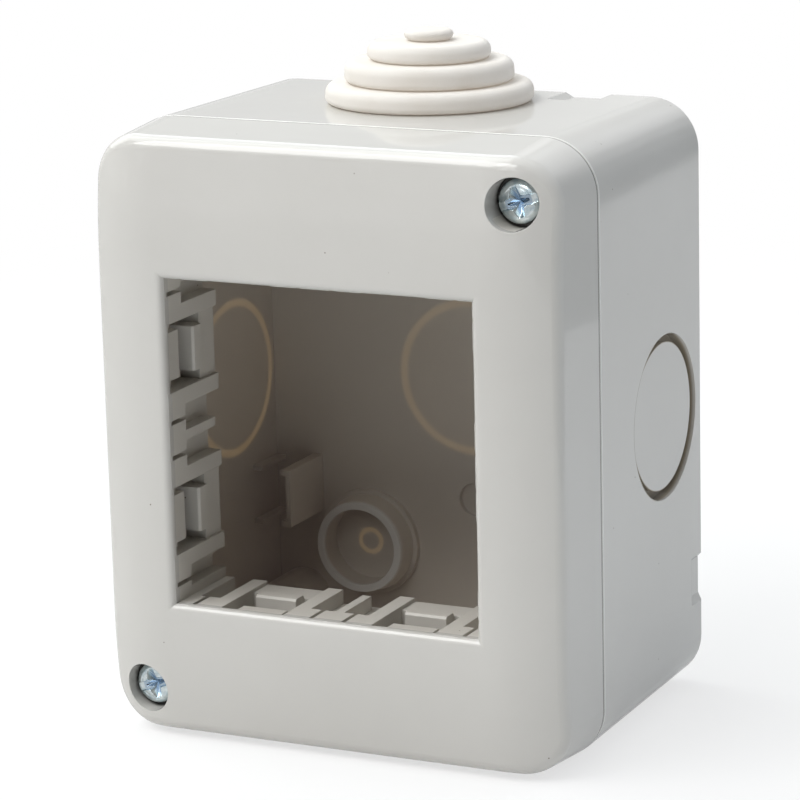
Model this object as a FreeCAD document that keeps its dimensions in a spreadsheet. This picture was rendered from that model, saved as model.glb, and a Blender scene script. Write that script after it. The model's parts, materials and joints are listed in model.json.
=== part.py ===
import FreeCAD, Part
import math
import os
import re
import Sketcher

# Surface mounting box for two clip-in wiring modules: a wall box, a screwed cover with a device opening,
# a stepped cable grommet in the upper entry and two cover screws.
# Frame: origin at the middle of the wall face, X to the right, Y into the wall, Z up, millimetres.
# A station is a distance from the wall face towards the front, that is along -Y.

SIZES = {
    # wall box
    "box_width": 69.0,
    "box_height": 83.6,
    "box_depth": 37.4,
    "corner_radius": 7.4,
    "box_wall": 2.3,
    "back_wall": 2.5,
    "box_draft": 0.75,
    "back_edge_bevel": 1.3,
    "seam_bevel": 0.2,
    # cover shell
    "cover_depth": 13.6,
    "cover_wall": 2.2,
    "panel_thickness": 3.6,
    "cover_draft": 4.5,
    "crown_flat": 24.0,
    "crown_side_radius": 18.0,
    "crown_end_radius": 80.0,
    "crown_room": 0.5,
    "front_edge_round": 2.0,
    "tongue_reach": 2.0,
    "tongue_gap": 0.3,
    "tongue_thickness": 1.2,
    "tongue_root": 3.0,
    # device opening and the clip lattice round it
    "module_width": 22.4,
    "opening_round": 1.0,
    "opening_ledge": 1.3,
    "lattice_depth": 14.7,
    "rib_height": 2.0,
    "skirt_wall": 1.6,
    "bay_width": 9.4,
    "rib_width": 2.2,
    "rib_tab_width": 3.8,
    "tab_depth": 5.2,
    "centre_rib_width": 1.3,
    "centre_rib_depth": 13.3,
    "centre_tab_width": 4.2,
    "corner_tab": 2.1,
    "corner_rib": 1.4,
    "floor_recess": 0.5,
    "strip_recess": 0.7,
    "strip_width": 6.6,
    "catch_width": 6.1,
    "catch_depth": 8.1,
    "catch_length": 2.4,
    "catch_bevel": 0.3,
    # cover screws and what they pass through
    "screw_inset": 6.7,
    "recess_diameter": 6.9,
    "recess_depth": 5.0,
    "recess_wall": 1.2,
    "recess_root": 0.1,
    "recess_floor": 2.0,
    "post_diameter": 7.2,
    "boss_diameter": 8.4,
    "boss_gap": 0.4,
    "boss_web": 1.6,
    "shank_diameter": 3.5,
    "shank_length": 18.0,
    "shank_gap": 0.35,
    "tip_room": 2.0,
    "head_diameter": 5.9,
    "head_height": 2.1,
    "head_bevel": 0.8,
    "cross_length": 4.4,
    "cross_width": 1.2,
    "cross_depth": 1.5,
    "slot_width": 1.3,
    "slot_cut": 0.8,
    "upper_turn": 17.0,
    "lower_turn": 19.0,
    # cable entries
    "entry_station": 14.5,
    "entry_diameter": 22.8,
    "entry_recess": 0.5,
    "rear_entry_diameter": 22.7,
    "groove_width": 1.2,
    "web_thickness": 0.5,
    # stepped grommet
    "foot_diameter": 28.6,
    "foot_height": 2.8,
    "middle_diameter": 23.3,
    "middle_height": 3.05,
    "upper_diameter": 17.0,
    "upper_height": 2.5,
    "nub_diameter": 6.9,
    "nub_height": 1.5,
    "tier_bevel": 0.9,
    "nub_bevel": 0.5,
    "grommet_wall": 1.4,
    "grommet_gap": 0.15,
    "collar_rim": 0.6,
    "collar_thickness": 1.6,
    # wall-screw cups
    "cup_x": 16.8,
    "cup_z": 25.7,
    "cup_radius": 7.3,
    "cup_height": 4.0,
    "cup_draft": 9.0,
    "cup_wall": 1.05,
    "cup_foot_rim": 0.5,
    "cup_foot_height": 0.8,
    "wall_ring_diameter": 4.0,
    "wall_ring_width": 0.7,
    "mark_diameter": 4.9,
    "mark_z": 18.0,
    "mark_depth": 0.8,
    # lug slots in the rear edges
    "lug_length": 5.2,
    "lug_depth": 1.25,
    "lug_reach": 5.0,
    "end_lug_reach": 8.0,
    "lug_x": 17.9,
    "lug_z": 26.0,
    # terminal holder beside the left wall
    "holder_x": 24.3,
    "holder_z": 17.6,
    "holder_height": 8.3,
    "holder_thickness": 0.7,
    "holder_reach": 10.5,
    "holder_lip": 0.8,
    "guide_z": 18.3,
    "guide_span": 8.6,
    "guide_height": 1.4,
    "guide_width": 0.6,
    "guide_reach": 7.5,
}

doc = FreeCAD.newDocument("surface_mount_box")
sheet = doc.addObject("Spreadsheet::Sheet", "Sizes")
for row, (name, value) in enumerate(SIZES.items(), start=1):
    sheet.set(f"A{row}", name)
    sheet.set(f"B{row}", str(value))
    sheet.setAlias(f"B{row}", name)
doc.recompute()


# Formulas and sketches

def formula(text):
    """Spell a formula of size names as an expression on the sheet."""
    return re.sub(r"[a-z_]+", lambda word: f"Sizes.{word[0]}" if word[0] in SIZES else word[0], str(text))


def number(text):
    """Value of a formula of size names."""
    return float(sheet.evalExpression(formula(text)))


def new_body(label):
    """Empty body whose label names its file."""
    body = doc.addObject("PartDesign::Body", "Body_" + label)
    body.Label = label
    return body


def origin_feature(body, role):
    """Plane or axis of a body's own origin."""
    return next(feature for feature in body.Origin.OriginFeatures if feature.Role == role)


def new_sketch(body, name, role="XZ_Plane", offset="0"):
    """Sketch on one of the body's origin planes, moved along the plane's normal."""
    sketch = body.newObject("Sketcher::SketchObject", name)
    sketch.AttachmentSupport = [(origin_feature(body, role), "")]
    sketch.MapMode = "FlatFace"
    sketch.setExpression("AttachmentOffset.Base.z", formula(offset))
    return sketch


def bind(sketch, kind, *target):
    """Add a constraint whose last value is a formula of size names."""
    index = sketch.addConstraint(Sketcher.Constraint(kind, *target[:-1], number(target[-1])))
    sketch.setExpression(f"Constraints[{index}]", formula(target[-1]))


def outline(sketch, corners):
    """Closed outline of straight lines; each corner is a pair of formulas."""
    points = [FreeCAD.Vector(number(across), number(up), 0) for across, up in corners]
    lines = [sketch.addGeometry(Part.LineSegment(start, end))
             for start, end in zip(points, points[1:] + points[:1])]
    for line, following in zip(lines, lines[1:] + lines[:1]):
        sketch.addConstraint(Sketcher.Constraint("Coincident", line, 2, following, 1))
    for line, (across, up) in zip(lines, corners):
        bind(sketch, "DistanceX", -1, 1, line, 1, across)
        bind(sketch, "DistanceY", -1, 1, line, 1, up)


def rectangle(sketch, left, right, low, high):
    """Upright rectangle between four formulas."""
    outline(sketch, [(left, low), (right, low), (right, high), (left, high)])


def circle(sketch, across, up, diameter):
    """Circle with its centre and diameter from formulas."""
    centre = FreeCAD.Vector(number(across), number(up), 0)
    index = sketch.addGeometry(Part.Circle(centre, FreeCAD.Vector(0, 0, 1), number(diameter) / 2))
    bind(sketch, "DistanceX", -1, 1, index, 3, across)
    bind(sketch, "DistanceY", -1, 1, index, 3, up)
    bind(sketch, "Diameter", index, diameter)


def rounded_rectangle(sketch, width, height, radius):
    """Rectangle about the sketch's origin with four equal round corners."""
    x, y, r = number(width) / 2, number(height) / 2, number(radius)
    start = [(r - x, -y), (x, r - y), (x - r, y), (-x, y - r)]
    end = [(x - r, -y), (x, y - r), (r - x, y), (-x, r - y)]
    lines = [sketch.addGeometry(Part.LineSegment(FreeCAD.Vector(*a, 0), FreeCAD.Vector(*b, 0)))
             for a, b in zip(start, end)]
    arcs = []
    for quarter, (cx, cy) in enumerate([(x - r, r - y), (x - r, y - r), (r - x, y - r), (r - x, r - y)]):
        full = Part.Circle(FreeCAD.Vector(cx, cy, 0), FreeCAD.Vector(0, 0, 1), r)
        last = quarter * math.pi / 2
        arcs.append(sketch.addGeometry(Part.ArcOfCircle(full, last - math.pi / 2, last)))
    for line, arc, following in zip(lines, arcs, lines[1:] + lines[:1]):
        sketch.addConstraint(Sketcher.Constraint("Tangent", line, 2, arc, 1))
        sketch.addConstraint(Sketcher.Constraint("Tangent", arc, 2, following, 1))
    for line, kind in zip(lines, ["Horizontal", "Vertical"] * 2):
        sketch.addConstraint(Sketcher.Constraint(kind, line))
    for arc in arcs[1:]:
        sketch.addConstraint(Sketcher.Constraint("Equal", arcs[0], arc))
    bind(sketch, "Radius", arcs[0], radius)
    bind(sketch, "DistanceY", -1, 1, lines[0], 1, f"-({height}) / 2")
    bind(sketch, "DistanceX", -1, 1, lines[1], 1, f"({width}) / 2")
    bind(sketch, "DistanceY", -1, 1, lines[2], 1, f"({height}) / 2")
    bind(sketch, "DistanceX", -1, 1, lines[3], 1, f"-({width}) / 2")


# Features

def add_feature(body, kind, sketch, length, taper, backwards):
    """Pad or pocket of a sketch, with an optional draft angle."""
    feature = body.newObject(f"PartDesign::{kind}", f"{sketch.Name}_{kind}")
    feature.Profile = sketch
    feature.Reversed = backwards
    feature.setExpression("Length", formula(length))
    if taper:
        feature.setExpression("TaperAngle", formula(taper))
    return feature


def pad(body, sketch, length, taper=None, backwards=False):
    """Raise a sketch along its normal."""
    feature = add_feature(body, "Pad", sketch, length, taper, backwards)
    doc.recompute()
    return feature


def pocket(body, sketch, length, taper=None, backwards=False):
    """Cut a sketch against its normal, and make sure that it removes something."""
    before = body.Shape.Volume
    feature = add_feature(body, "Pocket", sketch, length, taper, backwards)
    doc.recompute()
    if body.Shape.Volume >= before:
        raise RuntimeError(f"{feature.Name} cuts nothing")
    return feature


def revolve(body, sketch):
    """Turn a half profile about the body's Z axis."""
    feature = body.newObject("PartDesign::Revolution", sketch.Name + "_turned")
    feature.Profile = sketch
    feature.ReferenceAxis = (origin_feature(body, "Z_Axis"), [""])
    feature.Angle = 360
    doc.recompute()
    return feature


def repeat_on_sides(body, name, originals):
    """Repeat features on the four sides of the square opening."""
    pattern = body.newObject("PartDesign::PolarPattern", name)
    pattern.Originals = originals
    pattern.Axis = (origin_feature(body, "Y_Axis"), [""])
    pattern.Angle = 360
    pattern.Occurrences = 4
    body.Tip = pattern
    doc.recompute()
    return pattern


def dress_edges(body, kind, name, size, wanted):
    """Fillet or chamfer the edges of the tip that the test picks out."""
    base = body.Tip
    edges = [f"Edge{index}" for index, edge in enumerate(base.Shape.Edges, start=1) if wanted(edge)]
    feature = body.newObject(f"PartDesign::{kind}", name)
    feature.Base = (base, edges)
    feature.setExpression("Radius" if kind == "Fillet" else "Size", formula(size))
    doc.recompute()
    return feature


def lies_at(edge, axis, level):
    """Whether an edge lies in the plane where a coordinate has that level."""
    box = edge.BoundBox
    low, high = getattr(box, axis + "Min"), getattr(box, axis + "Max")
    return abs(low - level) < NEAR and abs(high - level) < NEAR


def turned_pairs(across, up):
    """A place and its partner half a turn about the middle of the wall face."""
    return [(across, up), (f"-({across})", f"-({up})")]


NEAR = 1e-4
PARTING = "box_depth"
FRONT = "box_depth + cover_depth"
OPENING = "2 * module_width"
SLOPE = "tan(box_draft * 1 deg)"
SCREW_X = "box_width / 2 - screw_inset"
SCREW_Z = "box_height / 2 - screw_inset"


# Wall box

def make_back_box():
    """Moulded wall box: drafted shell, entries, cups, bosses, lug slots and terminal holder."""
    body = new_body("back_box")
    shell = new_sketch(body, "box_outline", offset=PARTING)
    rounded_rectangle(shell, "box_width", "box_height", "corner_radius")
    pad(body, shell, "box_depth", taper="-box_draft", backwards=True)
    dress_edges(body, "Chamfer", "back_edge", "back_edge_bevel", lambda edge: lies_at(edge, "Y", 0))
    dress_edges(body, "Chamfer", "box_seam", "seam_bevel",
                lambda edge: lies_at(edge, "Y", -number(PARTING)))
    cavity = new_sketch(body, "box_cavity", offset=PARTING)
    rounded_rectangle(cavity, "box_width - 2 * box_wall", "box_height - 2 * box_wall",
                      "corner_radius - box_wall")
    pocket(body, cavity, "box_depth - back_wall", taper="-box_draft")
    add_bosses(body)
    add_cups(body)
    add_holder(body)
    cut_entries(body)
    cut_lug_slots(body)
    return body


def add_bosses(body):
    """Screw bosses in two opposite corners, each with a web to either wall and a bore."""
    top = "box_depth - tongue_reach - boss_gap"
    places = turned_pairs(SCREW_X, SCREW_Z)
    bosses = new_sketch(body, "bosses", offset="back_wall / 2")
    for across, up in places:
        circle(bosses, across, up, "boss_diameter")
    pad(body, bosses, f"{top} - back_wall / 2")
    for name, corners in {
        "side_webs": (SCREW_X, "box_width / 2 - box_wall / 2",
                      f"{SCREW_Z} - boss_web / 2", f"{SCREW_Z} + boss_web / 2"),
        "end_webs": (f"{SCREW_X} - boss_web / 2", f"{SCREW_X} + boss_web / 2",
                     SCREW_Z, "box_height / 2 - box_wall / 2"),
    }.items():
        webs = new_sketch(body, name, offset="back_wall / 2")
        left, right, low, high = corners
        rectangle(webs, left, right, low, high)
        rectangle(webs, f"-({right})", f"-({left})", f"-({high})", f"-({low})")
        pad(body, webs, f"{top} - back_wall / 2")
    bores = new_sketch(body, "boss_bores", offset=top)
    for across, up in places:
        circle(bores, across, up, "shank_diameter + 2 * shank_gap")
    seat = f"{FRONT} - recess_depth"
    pocket(body, bores, f"{top} - ({seat}) + shank_length + tip_room")


def add_cups(body):
    """Wall-screw cups in the other two corners, each over a thin ring, and two round marks."""
    places = turned_pairs("-cup_x", "-cup_z")
    rim = "cup_radius - cup_height * tan(cup_draft * 1 deg) - cup_wall"
    tiers = {
        "cup_feet": ("cup_radius + cup_foot_rim", "cup_foot_height", None),
        "cups": ("cup_radius", "cup_height", "-cup_draft"),
    }
    for name, (radius, height, draft) in tiers.items():
        sketch = new_sketch(body, name, offset="back_wall")
        for across, up in places:
            circle(sketch, across, up, f"2 * ({radius})")
        pad(body, sketch, height, taper=draft)
    hollows = new_sketch(body, "cup_hollows", offset="back_wall + cup_height")
    rings = new_sketch(body, "wall_screw_rings", offset="back_wall - web_thickness")
    for across, up in places:
        circle(hollows, across, up, f"2 * ({rim})")
        circle(rings, across, up, "wall_ring_diameter")
        circle(rings, across, up, "wall_ring_diameter - 2 * wall_ring_width")
    pocket(body, hollows, "cup_height")
    pocket(body, rings, "back_wall")
    marks = new_sketch(body, "round_marks", offset="back_wall")
    for across, up in turned_pairs("0", "mark_z"):
        circle(marks, across, up, "mark_diameter")
    pocket(body, marks, "mark_depth")


def add_holder(body):
    """Terminal holder: a lipped plate off the back wall and two guides on the left wall."""
    low, high = "-holder_z - holder_height / 2", "-holder_z + holder_height / 2"
    face, rear = "-holder_x", "-holder_x - holder_thickness"
    lip = f"{rear} - holder_lip"
    plate = new_sketch(body, "holder_plate", offset="back_wall / 2")
    outline(plate, [(face, low), (face, high), (lip, high), (lip, f"{high} - holder_lip"),
                    (rear, f"{high} - holder_lip"), (rear, f"{low} + holder_lip"),
                    (lip, f"{low} + holder_lip"), (lip, low)])
    pad(body, plate, "holder_reach + back_wall / 2")
    guides = new_sketch(body, "holder_guides", offset="back_wall / 2")
    wall = f"-box_width / 2 + box_wall + box_depth * {SLOPE}"
    for level in ("-guide_z + guide_span / 2 - guide_width", "-guide_z - guide_span / 2"):
        rectangle(guides, f"{wall} - box_wall / 2", f"{wall} + guide_height", level, f"{level} + guide_width")
    pad(body, guides, "guide_reach + back_wall / 2")


def cut_entries(body):
    """Thin-web entries in the sides, bottom and back, and the open entry under the grommet."""
    sides = {
        "right": ("YZ_Plane", "box_width", 1),
        "left": ("YZ_Plane", "box_width", -1),
        "bottom": ("XY_Plane", "box_height", -1),
    }
    for side, (plane, span, sign) in sides.items():
        place = ("-entry_station", "0") if plane == "YZ_Plane" else ("0", "-entry_station")
        face = f"{span} / 2 - (box_depth - entry_station) * {SLOPE}"
        disc = new_sketch(body, f"{side}_disc", plane, f"{sign} * ({face} - entry_recess)")
        circle(disc, *place, "entry_diameter")
        pocket(body, disc, "box_wall", backwards=sign > 0)
        ring = new_sketch(body, f"{side}_ring", plane, f"{sign} * ({face} - box_wall + web_thickness)")
        circle(ring, *place, "entry_diameter")
        circle(ring, *place, "entry_diameter - 2 * groove_width")
        pocket(body, ring, "box_wall", backwards=sign > 0)
    rear = new_sketch(body, "rear_ring", offset="back_wall - web_thickness")
    circle(rear, "0", "0", "rear_entry_diameter")
    circle(rear, "0", "0", "rear_entry_diameter - 2 * groove_width")
    pocket(body, rear, "back_wall")
    hole = new_sketch(body, "upper_entry", "XY_Plane", "box_height / 2")
    circle(hole, "0", "-entry_station", "entry_diameter")
    pocket(body, hole, "2 * box_wall")


def cut_lug_slots(body):
    """Slots with sloping ends in the rear edges, one on each side, set like a pinwheel."""
    side_slots, end_slots = new_sketch(body, "side_lug_slots"), new_sketch(body, "end_lug_slots")
    half = "lug_length / 2"
    mouth = f"{half} + 2 * lug_depth"

    def corners(span, middle):
        """Places along a side and distances from the middle of the box, floor ends last."""
        floor, edge = f"{span} / 2 - lug_depth", f"{span} / 2 + lug_depth"
        return [(f"{middle} - ({half})", floor), (f"{middle} - ({mouth})", edge),
                (f"{middle} + {mouth}", edge), (f"{middle} + {half}", floor)]

    for sign in (1, -1):
        outline(side_slots, [(f"{sign} * ({out})", f"{sign} * ({along})")
                             for along, out in corners("box_width", "-lug_z")])
        outline(end_slots, [(f"{sign} * ({along})", f"{sign} * ({out})")
                            for along, out in corners("box_height", "lug_x")])
    pocket(body, side_slots, "lug_reach", backwards=True)
    pocket(body, end_slots, "end_lug_reach", backwards=True)


# Cover

def make_front_cover():
    """Moulded cover: drafted shell with tongue, screw recesses, device opening and clip lattice."""
    body = new_body("front_cover")
    shell = new_sketch(body, "cover_outline", offset=PARTING)
    rounded_rectangle(shell, "box_width", "box_height", "corner_radius")
    pad(body, shell, "cover_depth", taper="-cover_draft")
    cut_crown(body)
    dress_edges(body, "Fillet", "front_edge", "front_edge_round",
                lambda edge: all(is_on_rim(vertex.Point) for vertex in edge.Vertexes))
    dress_edges(body, "Chamfer", "cover_seam", "seam_bevel",
                lambda edge: lies_at(edge, "Y", -number(PARTING)))
    cavity = new_sketch(body, "cover_cavity", offset=PARTING)
    rounded_rectangle(cavity, "box_width - 2 * cover_wall", "box_height - 2 * cover_wall",
                      "corner_radius - cover_wall")
    pocket(body, cavity, "cover_depth - panel_thickness", taper="-cover_draft", backwards=True)
    add_tongue(body)
    add_screw_recesses(body)
    add_opening(body)
    add_lattice(body)
    return body


def cut_crown(body):
    """Front that is flat round the opening and falls away to the sides and ends in arcs.

    The arcs across the box are carried, unturned, along the arcs from end to end.
    """
    side, end = "box_width / 2 + crown_room", "box_height / 2 + crown_room"
    fall = f"crown_end_radius - sqrt(crown_end_radius ^ 2 - ({end} - crown_flat) ^ 2)"
    front = f"-({FRONT}) - crown_room"
    path = new_sketch(body, "crown_path", "YZ_Plane")
    crown_line(path, f"-({FRONT})", end, "crown_end_radius", upright=True)
    profile = new_sketch(body, "crown_profile", "XY_Plane", f"-({end})")
    tips = crown_line(profile, f"-({FRONT}) + {fall}", side, "crown_side_radius")
    corners = [FreeCAD.Vector(sign * number(side), number(front), 0) for sign in (-1, 1)]
    closing = profile.addGeometry(Part.LineSegment(*corners))
    for sign, corner, (arc, tip) in zip((-1, 1), (1, 2), tips):
        arc_tip = profile.getPoint(arc, tip)
        edge = profile.addGeometry(Part.LineSegment(arc_tip, corners[corner - 1]))
        profile.addConstraint(Sketcher.Constraint("Coincident", edge, 1, arc, tip))
        profile.addConstraint(Sketcher.Constraint("Coincident", edge, 2, closing, corner))
        bind(profile, "DistanceX", -1, 1, closing, corner, f"{sign} * ({side})")
        bind(profile, "DistanceY", -1, 1, closing, corner, front)
    crown = body.newObject("PartDesign::SubtractivePipe", "crown")
    crown.Profile = profile
    crown.Spine = (path, ["Edge1", "Edge2", "Edge3"])
    crown.Mode = "Fixed"
    doc.recompute()


def crown_line(sketch, level, reach, radius, upright=False):
    """Flat line at a level with a tangent arc at either end, which bends back to reach a distance.

    It runs along the sketch's X axis, or along its Y axis if upright. The far tip of each arc is returned.
    """
    along, deep = ("DistanceY", "DistanceX") if upright else ("DistanceX", "DistanceY")
    half, depth, bend = number("crown_flat"), number(level), number(radius)
    swing = math.asin((number(reach) - half) / bend)
    middle = math.pi if upright else -math.pi / 2

    def place(run, back):
        """Point of the sketch at a distance along the line and a depth."""
        return FreeCAD.Vector(back, run, 0) if upright else FreeCAD.Vector(run, back, 0)

    flat = sketch.addGeometry(Part.LineSegment(place(-half, depth), place(half, depth)))
    tips = []
    for sign, end in ((-1, 1), (1, 2)):
        bind(sketch, along, -1, 1, flat, end, f"{sign} * crown_flat")
        bind(sketch, deep, -1, 1, flat, end, level)
        full = Part.Circle(place(sign * half, depth + bend), FreeCAD.Vector(0, 0, 1), bend)
        leads = (sign < 0) == upright
        start = middle if leads else middle - swing
        arc = sketch.addGeometry(Part.ArcOfCircle(full, start, start + swing))
        joint, tip = (1, 2) if leads else (2, 1)
        sketch.addConstraint(Sketcher.Constraint("Tangent", arc, joint, flat, end))
        bind(sketch, "Radius", arc, radius)
        bind(sketch, along, -1, 1, arc, tip, f"{sign} * ({reach})")
        tips.append((arc, tip))
    return tips


def is_on_rim(point):
    """Whether a point of the cover is on the rim where its sides meet the crowned front."""
    radius = number("corner_radius")
    across = max(abs(point.x) - number("box_width / 2") + radius, 0)
    up = max(abs(point.z) - number("box_height / 2") + radius, 0)
    beyond_middle = point.y < -number(f"{PARTING} + cover_depth / 2")
    return beyond_middle and math.hypot(across, up) > radius - number("front_edge_round")


def add_tongue(body):
    """Ring inside the rim that reaches into the mouth of the box."""
    inset = "box_wall + tongue_gap"
    inner = f"{inset} + tongue_thickness"
    root = new_sketch(body, "tongue_root_ring", offset=PARTING)
    ring = new_sketch(body, "tongue_ring", offset=PARTING)
    for sketch, outer in ((root, "cover_wall / 2"), (ring, inset)):
        for depth in (outer, inner):
            rounded_rectangle(sketch, f"box_width - 2 * ({depth})", f"box_height - 2 * ({depth})",
                              f"corner_radius - ({depth})")
    pad(body, root, "tongue_root")
    pad(body, ring, "tongue_reach", backwards=True)


def add_screw_recesses(body):
    """Recess cup and post for each screw, with the head's recess and the shank's hole."""
    places = turned_pairs(SCREW_X, SCREW_Z)
    panel = f"{FRONT} - panel_thickness + recess_root"
    cup_end = f"{FRONT} - recess_depth - recess_floor"
    post_end = "box_depth - tongue_reach"
    for name, diameter, end in (("recess_cups", "recess_diameter + 2 * recess_wall", cup_end),
                                ("screw_posts", "post_diameter", post_end)):
        sketch = new_sketch(body, name, offset=panel)
        for across, up in places:
            circle(sketch, across, up, diameter)
        pad(body, sketch, f"{panel} - ({end})", backwards=True)
    shank_hole = "shank_diameter + 2 * shank_gap"
    for name, diameter, depth in (("head_recesses", "recess_diameter", "recess_depth"),
                                  ("shank_holes", shank_hole, f"{FRONT} - ({post_end})")):
        sketch = new_sketch(body, name, offset=FRONT)
        for across, up in places:
            circle(sketch, across, up, diameter)
        pocket(body, sketch, depth)


def add_opening(body):
    """Square device opening with a rounded edge, a thinned ledge and the skirt behind it."""
    back = f"{FRONT} - lattice_depth"
    skirt_inside = f"{OPENING} + 2 * rib_height"
    skirt = new_sketch(body, "skirt", offset=back)
    for span in (skirt_inside, f"{skirt_inside} + 2 * skirt_wall"):
        rectangle(skirt, f"-({span}) / 2", f"({span}) / 2", f"-({span}) / 2", f"({span}) / 2")
    pad(body, skirt, "lattice_depth - panel_thickness / 2")
    for name, span, station in (
        ("device_opening", OPENING, FRONT),
        ("ledge_rebate", skirt_inside, f"{FRONT} - opening_ledge"),
    ):
        sketch = new_sketch(body, name, offset=station)
        rectangle(sketch, f"-({span}) / 2", f"({span}) / 2", f"-({span}) / 2", f"({span}) / 2")
        pocket(body, sketch, "panel_thickness")
    reach = number(OPENING) / 2 + NEAR
    dress_edges(body, "Fillet", "opening_edge", "opening_round",
                lambda edge: lies_at(edge, "Y", -number(FRONT))
                and max(abs(point.x) for point in (v.Point for v in edge.Vertexes)) < reach
                and max(abs(point.z) for point in (v.Point for v in edge.Vertexes)) < reach)


def add_lattice(body):
    """Ribs, tabs and catches along one side of the opening, repeated on all four sides."""
    line = "-module_width"
    skirt = f"{line} - rib_height - skirt_wall / 2"
    centres = ("-module_width / 2", "module_width / 2")
    ledge = f"{FRONT} - opening_ledge / 2"

    def bars(name, spans, depth, top=line):
        """Bars that run back from the ledge, between the skirt and a top line."""
        sketch = new_sketch(body, name, offset=ledge)
        for left, right in spans:
            rectangle(sketch, left, right, skirt, top)
        return pad(body, sketch, f"{depth} - opening_ledge / 2", backwards=True)

    def beside(centre, width):
        """Two bars of a width on either side of a bay."""
        return [(f"{centre} - bay_width / 2 - ({width})", f"{centre} - bay_width / 2"),
                (f"{centre} + bay_width / 2", f"{centre} + bay_width / 2 + {width}")]

    def corner(length):
        """Two bars in the corners of the opening."""
        far = "module_width + rib_height + skirt_wall / 2"
        return [(f"-({far})", f"-module_width + {length}"), (f"module_width - {length}", far)]

    tabs = [span for centre in centres for span in beside(centre, "rib_tab_width")]
    tabs += [("-centre_tab_width / 2", "centre_tab_width / 2")] + corner("corner_tab")
    ribs = [span for centre in centres for span in beside(centre, "rib_width")]
    strips = [(f"{centre} - strip_width / 2", f"{centre} + strip_width / 2") for centre in centres]
    bays = [(f"{centre} - bay_width / 2", f"{centre} + bay_width / 2") for centre in centres]
    parts = [
        bars("rib_tabs", tabs, "tab_depth"),
        bars("ribs", ribs, "lattice_depth"),
        bars("centre_rib", [("-centre_rib_width / 2", "centre_rib_width / 2")], "centre_rib_depth"),
        bars("corner_ribs", corner("corner_rib"), "lattice_depth"),
        bars("front_strips", strips, "tab_depth", f"{line} - strip_recess"),
    ]
    floors = new_sketch(body, "bay_floors", offset=f"{FRONT} - lattice_depth")
    for left, right in bays:
        rectangle(floors, left, right, skirt, f"{line} - floor_recess")
    parts.append(pad(body, floors, "lattice_depth - catch_depth - catch_length"))
    for side, centre in zip(("left", "right"), centres):
        parts.append(add_catch(body, f"{side}_catch", centre, skirt, line))
    repeat_on_sides(body, "lattice", parts)
    windows = new_sketch(body, "catch_windows", "XY_Plane", f"{line} - strip_recess")
    start, near = f"-({FRONT}) + tab_depth", f"-({FRONT}) + catch_depth"
    for centre, (left, right) in zip(centres, bays):
        catch_left, catch_right = f"{centre} - catch_width / 2", f"{centre} + catch_width / 2"
        outline(windows, [(left, start), (right, start), (right, f"{near} + catch_length"),
                          (catch_right, f"{near} + catch_length"), (catch_right, near),
                          (catch_left, near), (catch_left, f"{near} + catch_length"),
                          (left, f"{near} + catch_length")])
    cut = pocket(body, windows, "rib_height + skirt_wall")
    repeat_on_sides(body, "windows", [cut])


def add_catch(body, name, centre, low, high):
    """Catch block across a bay; its two inner edges are bevelled."""
    near, far = f"-({FRONT}) + catch_depth", f"-({FRONT}) + catch_depth + catch_length"
    profile = new_sketch(body, name, "YZ_Plane", f"{centre} - catch_width / 2")
    outline(profile, [(near, low), (far, low), (far, f"{high} - catch_bevel"), (f"{far} - catch_bevel", high),
                      (f"{near} + catch_bevel", high), (near, f"{high} - catch_bevel")])
    return pad(body, profile, "catch_width")


# Grommet

def make_cable_grommet():
    """Hollow stepped grommet: four tiers outside, a neck in the entry and a collar behind the wall."""
    body = new_body("cable_grommet")
    under = "-box_wall - grommet_gap"
    neck = "entry_diameter / 2 - grommet_gap"
    bore = f"{neck} - grommet_wall"
    first = "foot_height"
    second = f"{first} + middle_height"
    third = f"{second} + upper_height"
    roof = f"{third} - grommet_wall"
    profile = new_sketch(body, "grommet_profile", "XZ_Plane")
    outline(profile, [
        (bore, f"{under} - collar_thickness"),
        (f"{neck} + collar_rim", f"{under} - collar_thickness"),
        (f"{neck} + collar_rim", under),
        (neck, under),
        (neck, "0"),
        ("foot_diameter / 2", "0"),
        ("foot_diameter / 2", first),
        ("middle_diameter / 2", first),
        ("middle_diameter / 2", second),
        ("upper_diameter / 2", second),
        ("upper_diameter / 2", third),
        ("nub_diameter / 2", third),
        ("nub_diameter / 2", f"{third} + nub_height"),
        ("0", f"{third} + nub_height"),
        ("0", roof),
        ("upper_diameter / 2 - grommet_wall", roof),
        ("upper_diameter / 2 - grommet_wall", f"{second} - grommet_wall"),
        (bore, f"{second} - grommet_wall"),
    ])
    revolve(body, profile)
    tiers = {"foot": first, "middle": second, "upper": third}
    for tier, level in tiers.items():
        radius = number(f"{tier}_diameter / 2")
        height = number(level)
        dress_edges(body, "Chamfer", f"{tier}_edge", "tier_bevel",
                    lambda edge: lies_at(edge, "Z", height) and abs(edge.BoundBox.XMax - radius) < NEAR)
    top = number(f"{third} + nub_height")
    dress_edges(body, "Chamfer", "nub_edge", "nub_bevel", lambda edge: lies_at(edge, "Z", top))
    body.Placement = FreeCAD.Placement(FreeCAD.Vector(), FreeCAD.Rotation(FreeCAD.Vector(-1, 0, 0), 1))
    body.setExpression("Placement.Rotation.Angle", formula("box_draft"))
    body.setExpression("Placement.Base.y", formula("-entry_station"))
    body.setExpression("Placement.Base.z", formula(f"box_height / 2 - (box_depth - entry_station) * {SLOPE}"))
    return body


# Screws

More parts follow.
